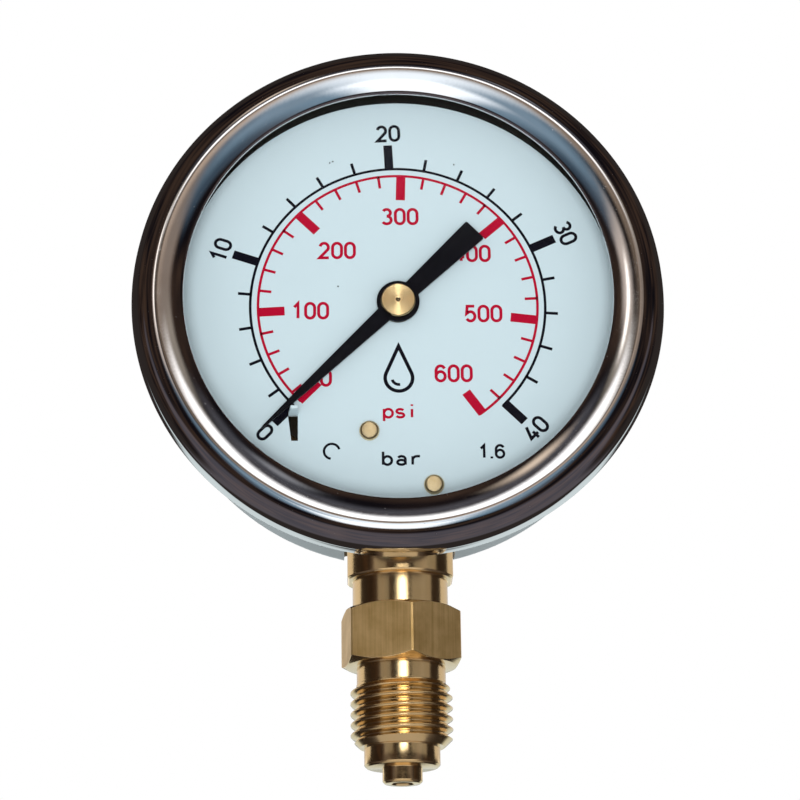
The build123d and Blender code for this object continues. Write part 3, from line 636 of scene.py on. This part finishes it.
# Letters and figures as centre lines, closed or open. Figures are 1 high and 0.62 wide, and stand on y = 0.
GLYPHS = {
    "0": [(True, curve(0, 0.69, 0.31, 0.31, 0, 180) + curve(0, 0.31, 0.31, 0.31, 180, 360))],
    "1": [(False, [(-0.20, 0.74), (0.06, 1.0), (0.06, 0.0)])],
    "2": [(False, curve(0, 0.71, 0.29, 0.29, 165, -32) + [(-0.31, 0.0), (0.32, 0.0)])],
    "3": [
        (False, curve(-0.02, 0.765, 0.265, 0.235, 152, -90)),
        (False, curve(-0.02, 0.265, 0.31, 0.265, 90, -150)),
    ],
    "4": [(False, [(0.06, 1.0), (-0.30, 0.26), (0.36, 0.26)]), (False, [(0.14, 0.52), (0.14, 0.0)])],
    "5": [(False, [(0.27, 1.0), (-0.22, 1.0), (-0.27, 0.50)] + curve(0, 0.315, 0.30, 0.315, 132, -150))],
    "6": [
        (True, curve(0, 0.31, 0.31, 0.31, 0, 352, 32)),
        (False, curve(0, 0.66, 0.31, 0.34, 28, 180) + [(-0.31, 0.31)]),
    ],
    ".": [(False, [(0, -0.07), (0, 0.09)])],
    "p": [(False, [(-0.26, 0.70), (-0.26, -0.30)]), (True, curve(0, 0.34, 0.26, 0.34, 0, 350, 30))],
    "s": [(False, curve(0, 0.50, 0.21, 0.17, 25, 255, 14) + curve(0, 0.17, 0.23, 0.17, 75, -160, 14))],
    "i": [(False, [(0, 0.68), (0, 0.0)]), (False, [(0, 0.93), (0, 1.06)])],
    "b": [(False, [(-0.26, 1.06), (-0.26, 0.0)]), (True, curve(0, 0.34, 0.26, 0.34, 0, 350, 30))],
    "a": [
        (False, curve(0, 0.44, 0.23, 0.24, 150, 0, 12) + [(0.23, 0.0)]),
        (True, curve(-0.01, 0.19, 0.24, 0.19, 0, 350, 26)),
    ],
    "r": [
        (False, [(-0.18, 0.68), (-0.18, 0.0)]),
        (False, curve(0.10, 0.38, 0.28, 0.30, 180, 80, 10) + [(0.26, 0.68)]),
    ],
}


def write(shape, text, at, height, advance, width, turn=0.0, widen=1.0):
    """Text centred on a point of the dial. turn is clockwise, in degrees, and 0 is upright."""
    size = height - width
    a = radians(turn)
    for n, letter in enumerate(text):
        shift = (n - (len(text) - 1) / 2) * advance
        for closed, path in GLYPHS[letter]:
            placed = []
            for x, y in path:
                u, v = shift + x * size * widen, (y - 0.5) * size
                placed.append((at[0] + u * cos(a) + v * sin(a), at[1] - u * sin(a) + v * cos(a)))
            stroke(shape, placed, width, closed)


BAR_RADIUS, BAR_START, BAR_ZERO, BAR_STEP = 19.0, -135.0, -140.3, 13.755   # degrees for each 2 bar
PSI_RADIUS, PSI_START, PSI_ZERO, PSI_STEP = 18.0, -135.3, -140.3, 9.484    # degrees for each 20 psi
PSI_LINE_START = -136
BAR_END, PSI_END = 136, 145.5
BAR_TICKS = ((20.65, 0.38), (22.4, 1.15))      # end radius and width, of a short and of a long one
PSI_TICKS = ((16.4, 0.36), (14.6, 1.2))
SCALE_LINE = 0.34
FIGURE_H, FIGURE_W, FIGURE_ADVANCE = 2.42, 0.39, 1.67                      # height, line and spacing
UNIT_H, UNIT_W = 1.95, 0.33
BAR_FIGURES_R = 24.1
BAR_FIGURES = {"0": -135.0, "10": -71.4, "20": -2.4, "30": 65.8, "40": 134.1}
PSI_FIGURES = {
    "100": (-11.3, -0.72),
    "200": (-7.8, 7.58),
    "300": (0.4, 12.28),
    "400": (9.7, 7.08),
    "500": (11.0, -1.22),
    "600": (7.0, -9.32),
    "0": (-9.3, -9.82),
}
DUST = [(-8.7, 19.9), (-8.3, 20.1), (7.6, 19.6), (-7.7, 2.6)]


def make_scales():
    """Both scales: a line with short ticks, and a long one at every fifth. The first stands at the stop."""
    black = Shape()
    ring_line(black, BAR_RADIUS, SCALE_LINE, BAR_START, BAR_END)
    for n in range(21):
        angle = BAR_START if n == 0 else BAR_ZERO + BAR_STEP * n
        tick(black, angle, BAR_RADIUS - 0.1, *BAR_TICKS[n % 5 == 0])
    black.piece("scale_bar", FIXED, [INK_BLACK])

    red = Shape()
    ring_line(red, PSI_RADIUS, SCALE_LINE, PSI_LINE_START, PSI_END)
    for n in range(31):
        angle = PSI_START if n == 0 else PSI_ZERO + PSI_STEP * n
        tick(red, angle, PSI_RADIUS + 0.1, *PSI_TICKS[n % 5 == 0])
    red.piece("scale_psi", FIXED, [INK_RED])


def make_figures():
    """The figures of both scales, their units and the class."""
    black = Shape()
    for text, angle in BAR_FIGURES.items():
        turn = angle + 180 if abs(angle) > 90 else angle
        write(black, text, polar(BAR_FIGURES_R, angle), FIGURE_H, FIGURE_ADVANCE, FIGURE_W, turn, 0.93)
    write(black, "bar", (0.2, -20.6), UNIT_H, 1.78, UNIT_W, widen=1.3)
    write(black, "1.6", (11.6, -19.75), UNIT_H, 1.05, UNIT_W)
    black.piece("figures_bar", FIXED, [INK_BLACK])

    red = Shape()
    for text, at in PSI_FIGURES.items():
        write(red, text, at, FIGURE_H, FIGURE_ADVANCE, FIGURE_W, widen=0.92)
    write(red, "psi", (0.1, -14.35), UNIT_H, 1.5, UNIT_W, widen=1.3)
    red.piece("figures_psi", FIXED, [INK_RED])


def make_symbols():
    """A plain drop, the sign of a fluid, a small open circle and some dust."""
    shape = Shape()
    low, top, radius = -9.9, -5.6, 1.75
    reach = top - low
    lean = degrees(atan2(sqrt(reach**2 - radius**2), radius))
    stroke(shape, [(0, top), *arc((0, low), radius, 90 - lean, 90 + lean - 360, 48)], 0.46, closed=True)
    stroke(shape, arc((0, low), radius * 0.5, 195, 280, 12), 0.38)
    stroke(shape, arc((-8.6, -19.6), 0.98, 15, 262, 36), 0.31)
    for x, z in DUST:
        stroke(shape, [(x - 0.08, z), (x + 0.08, z + 0.02)], 0.2)
    shape.piece("dial_symbols", FIXED, [INK_BLACK])


# ---------------------------------------------------------------- finishes of the CAD nodes that stay
FINISHES = {
    "case": SATIN,
    "blow_out_plug": RUBBER,
    "window_gasket": RUBBER,
    "stem_seal": RUBBER,
    "case_screws": SCREW_STEEL,
    "dial": DIAL_PAINT,
    "pointer": POINTER_PAINT,
    "pinion_shaft": MOVEMENT_STEEL,
    "sector_gear": MOVEMENT_BRASS,
    "sector_arbor": MOVEMENT_STEEL,
    "sector_link_pin": MOVEMENT_BRASS,
    "link": MOVEMENT_BRASS,
    "tip_link_pin": MOVEMENT_BRASS,
    "tube_end_piece": MOVEMENT_BRASS,
    "bourdon_tube": BRONZE,
    "hairspring": BRONZE,
    "hairspring_collet": MOVEMENT_BRASS,
    "hairspring_stud": MOVEMENT_BRASS,
    "movement_front_plate": MOVEMENT_BRASS,
    "movement_back_plate": MOVEMENT_BRASS,
    "movement_pillars": MOVEMENT_BRASS,
    "movement_plate_screws": SCREW_STEEL,
    "movement_mounting_screws": SCREW_STEEL,
}


def finish_nodes():
    """Materials for the CAD nodes that stay."""
    for name, material in FINISHES.items():
        mesh = frame["nodes"][name].data
        mesh.materials.clear()
        mesh.materials.append(material)


# ---------------------------------------------------------------- studio
FLOOR_Z = -0.16            # metres
FLOOR_HALF = 3.0
FLOOR_LIGHT = 1.75         # watts per square metre
FRONT_LIGHT = 1.58
FRONT_LIGHT_SPREAD = 24    # degrees
BOX_COLOUR = (1.0, 0.97, 0.92)


def make_floor():
    """A wide pale floor with a sun of its own, so that it stays white. It casts no shadow upwards."""
    half = FLOOR_HALF
    mesh = bpy.data.meshes.new("floor")
    corners = [(-half, -half, FLOOR_Z), (half, -half, FLOOR_Z), (half, half, FLOOR_Z), (-half, half, FLOOR_Z)]
    mesh.from_pydata(corners, [], [(0, 1, 2, 3)])
    mesh.materials.append(floor_paint())
    made = bpy.data.objects.new("floor", mesh)
    bpy.context.scene.collection.objects.link(made)
    made.visible_glossy = False
    made.visible_shadow = False

    only_floor = bpy.data.collections.new("lit_by_floor_light")
    only_floor.objects.link(made)
    data = bpy.data.lights.new("floor_light", "SUN")
    data.energy = FLOOR_LIGHT
    light = bpy.data.objects.new("floor_light", data)
    bpy.context.scene.collection.objects.link(light)
    light.light_linking.receiver_collection = only_floor


def aim(azimuth, elevation):
    """Unit vector to a place in the studio: azimuth 0 is in front of the dial, growing to the right."""
    a, e = radians(azimuth), radians(elevation)
    return Vector((sin(a) * cos(e), -cos(a) * cos(e), sin(e)))


# Soft boxes and windows of the studio, as metal mirrors them:
# (azimuth, elevation, half width, half height, soft edge, all in degrees, colour, strength)
PANELS = [
    (0.0, 3.5, 4.6, 5.0, 4.0, (1.0, 1.0, 1.0), 1.2),
    (1.2, 11.5, 2.6, 4.5, 4.0, (1.0, 1.0, 1.0), 1.0),
    (0.5, 8.0, 9.5, 7.0, 6.0, (0.50, 0.78, 1.0), 0.29),
    (0.8, 8.0, 14.0, 8.5, 3.5, (0.42, 0.70, 1.0), 0.11),
    (7.5, 19.0, 5.0, 2.6, 4.0, (1.0, 0.80, 0.66), 0.26),
    (-9.0, 21.5, 0.8, 2.4, 1.8, (1.0, 0.95, 0.90), 1.5),
    (-9.5, 19.5, 3.2, 3.0, 3.6, (1.0, 0.86, 0.77), 0.60),
    (1.4, 18.0, 4.0, 2.0, 3.0, (1.0, 0.76, 0.56), 0.25),
    (1.4, 24.8, 6.5, 2.0, 3.2, (0.98, 0.98, 1.0), 1.6),
    (1.4, 24.0, 11.0, 2.2, 3.0, (1.0, 0.88, 0.74), 0.30),
    (-7.5, 33.0, 2.2, 1.6, 4.0, (1.0, 0.80, 0.62), 0.9),
    (9.5, 33.0, 1.6, 1.4, 3.0, (0.9, 0.92, 1.0), 0.30),
    (1.4, 30.0, 12.0, 2.0, 4.0, (0.85, 0.86, 1.0), 0.08),
    (0.0, -60.0, 60.0, 38.0, 12.0, (0.90, 0.84, 1.0), 0.085),
    (180.0, -12.0, 42.0, 13.0, 6.0, (0.86, 0.98, 1.0), 0.80),
]
ROOM_FRONT = ((0.006, 0.005, 0.007), (0.055, 0.033, 0.023))    # the dim room, mottled between these
ROOM_REAR = (0.030, 0.024, 0.022)
DAYLIGHT = (0.42, 0.42, 0.42)


def make_world():
    """White to the camera, even soft daylight on matte surfaces, and the studio's panels for gloss."""
    world = bpy.data.worlds.new("studio")
    bpy.context.scene.world = world
    world.use_nodes = True
    world.cycles.sampling_method = "NONE"
    tree = world.node_tree
    tree.nodes.clear()
    way = add(tree, "TexCoord").outputs["Generated"]

    def along(direction):
        settings = {0: way, 1: tuple(direction)}
        return add(tree, "VectorMath", settings, operation="DOT_PRODUCT").outputs["Value"]

    def step(value, edge_out, edge_in):
        settings = {"Value": value, "From Min": edge_out, "From Max": edge_in}
        return add(tree, "MapRange", settings, interpolation_type="SMOOTHSTEP").outputs["Result"]

    def times(one, two):
        return add(tree, "Math", {0: one, 1: two}, operation="MULTIPLY").outputs["Value"]

    rear = step(along((0, 1, 0)), -0.25, 0.25)
    mottle = add(tree, "TexNoise", {"Vector": way, "Scale": 5.0, "Detail": 3.0}).outputs["Fac"]
    front = blend_colours(tree, step(mottle, 0.35, 0.7), *ROOM_FRONT)
    studio = add(tree, "Mix", {"Factor": rear, "A": front, "B": (*ROOM_REAR, 1)}, data_type="RGBA")
    colour = studio.outputs["Result"]
    for azimuth, elevation, half_w, half_h, soft, tint, strength in PANELS:
        a = radians(azimuth)
        facing = aim(azimuth, elevation)
        right = Vector((cos(a), sin(a), 0))
        up = facing.cross(right)
        masks = []
        for axis, half in ((right, half_w), (up, half_h)):
            off = add(tree, "Math", {0: along(axis)}, operation="ABSOLUTE").outputs["Value"]
            masks.append(step(off, sin(radians(half + soft / 2)), sin(radians(max(0.1, half - soft / 2)))))
        inside = times(times(masks[0], masks[1]), step(along(facing), 0.0, 0.1))
        light = add(tree, "Mix", data_type="RGBA")
        tree.links.new(inside, light.inputs["Factor"])
        light.inputs["A"].default_value = (0, 0, 0, 1)
        light.inputs["B"].default_value = (*(c * strength for c in tint), 1)
        sum_of = {"Factor": 1.0, "A": colour, "B": light.outputs["Result"]}
        colour = add(tree, "Mix", sum_of, data_type="RGBA", blend_type="ADD").outputs["Result"]
    path = add(tree, "LightPath")
    choice = {"Factor": path.outputs["Is Diffuse Ray"], "A": colour, "B": (*DAYLIGHT, 1)}
    lit = add(tree, "Mix", choice, data_type="RGBA")
    choice = {"Factor": path.outputs["Is Camera Ray"], "A": lit.outputs["Result"], "B": (1, 1, 1, 1)}
    seen = add(tree, "Mix", choice, data_type="RGBA")
    background = add(tree, "Background", {"Color": seen.outputs["Result"]})
    add(tree, "OutputWorld", {"Surface": background.outputs["Background"]})


# The camera stands in front of the gauge and below it.
CAMERA_AT = Vector((-0.00721, -0.29386, -0.04683))
CAMERA_LOOKS_AT = Vector((0.000102, -0.0085, 0.045451))
CAMERA_ROLL = -0.787       # degrees
LENS = 106.2               # millimetres, for a sensor 36 mm wide


def make_camera():
    data = bpy.data.cameras.new("camera")
    data.lens = LENS
    data.sensor_width = 36
    data.clip_start = 0.01
    camera = bpy.data.objects.new("camera", data)
    bpy.context.scene.collection.objects.link(camera)
    forward = (CAMERA_LOOKS_AT - CAMERA_AT).normalized()
    level = forward.cross(Vector((0, 0, 1))).normalized()
    upright = level.cross(forward)
    roll = radians(CAMERA_ROLL)
    right = level * cos(roll) + upright * sin(roll)
    up = upright * cos(roll) - level * sin(roll)
    turn = Matrix((right, up, -forward)).transposed()
    camera.matrix_world = Matrix.Translation(CAMERA_AT) @ turn.to_4x4()
    bpy.context.scene.camera = camera


def make_front_light():
    """A broad soft light beside the camera, so that the dial is lit evenly to its edge."""
    data = bpy.data.lights.new("front_light", "SUN")
    data.energy = FRONT_LIGHT
    data.angle = radians(FRONT_LIGHT_SPREAD)
    light = bpy.data.objects.new("front_light", data)
    bpy.context.scene.collection.objects.link(light)
    towards = CENTRE - CAMERA_AT
    light.matrix_world = towards.to_track_quat("-Z", "Y").to_matrix().to_4x4()
    light.visible_glossy = False


# Light boxes for some pieces alone:
# (name, azimuth and elevation in degrees, distance, width and height in metres, radiance)
STEM_MIDDLE = Vector((0, 0, 0.0125))
STEM_LIGHTS = [
    ("stem_core", 4.0, 11.5, 0.25, 0.100, 0.110, 2.5),
    ("stem_highlight", 6.0, 11.5, 0.24, 0.025, 0.060, 4.5),
    ("stem_edge_left", -140.0, 12.0, 0.25, 0.260, 0.120, 0.75),
    ("stem_edge_right", 140.0, 12.0, 0.25, 0.260, 0.120, 0.65),
    ("stem_fill_left", -42.0, 12.0, 0.25, 0.120, 0.150, 0.27),
    ("stem_fill_right", 52.0, 12.0, 0.25, 0.240, 0.150, 0.29),
    ("stem_low", 0.0, -42.0, 0.25, 0.500, 0.200, 0.62),
    ("stem_high", 0.0, 62.0, 0.25, 0.500, 0.220, 0.75),
    ("stem_under", 0.0, -84.0, 0.25, 0.300, 0.260, 0.40),
]
FACE_LIGHTS = [
    ("face_broad", 1.4, 20.0, 0.25, 0.200, 0.200, 0.12),
    ("face_strip", 1.4, 22.0, 0.24, 0.014, 0.300, 2.4),
]
CASE_LIGHTS = [
    ("case_left", -95.0, 8.0, 0.50, 0.400, 0.600, 0.60),
    ("case_right", 95.0, 8.0, 0.50, 0.400, 0.600, 0.60),
    ("case_back", 180.0, 32.0, 0.50, 0.600, 0.260, 0.60),
    ("case_top", 90.0, 85.0, 0.50, 0.500, 0.500, 0.80),
]


def make_light_boxes(boxes, middle, pieces):
    """Soft boxes that only these pieces mirror, standing round a point."""
    lit = bpy.data.collections.new("lit_by_" + boxes[0][0])
    for one in pieces:
        lit.objects.link(one)
    for name, azimuth, elevation, distance, width, height, radiance in boxes:
        data = bpy.data.lights.new(name, "AREA")
        data.shape = "RECTANGLE"
        data.size = width
        data.size_y = height
        data.energy = radiance * pi * width * height
        data.color = BOX_COLOUR
        light = bpy.data.objects.new(name, data)
        bpy.context.scene.collection.objects.link(light)
        way = aim(azimuth, elevation)
        turn = (-way).to_track_quat("-Z", "Y").to_matrix().to_4x4()
        light.matrix_world = Matrix.Translation(middle + way * distance) @ turn
        light.visible_camera = False
        light.light_linking.receiver_collection = lit
        light.light_linking.blocker_collection = lit


make_camera()
make_world()
make_front_light()
make_floor()
bpy.context.scene.view_settings.view_transform = "Standard"

make_bezel()
make_window()
stem = make_stem()
hub = make_hub()
rivets = make_rivets()
make_light_boxes(STEM_LIGHTS, STEM_MIDDLE, [stem])
make_light_boxes(FACE_LIGHTS, CENTRE, [hub, rivets])
outside = [frame["nodes"][name] for name in ("case", "case_screws", "blow_out_plug")]
make_light_boxes(CASE_LIGHTS, CENTRE, outside)
make_scales()
make_figures()
make_symbols()
finish_nodes()
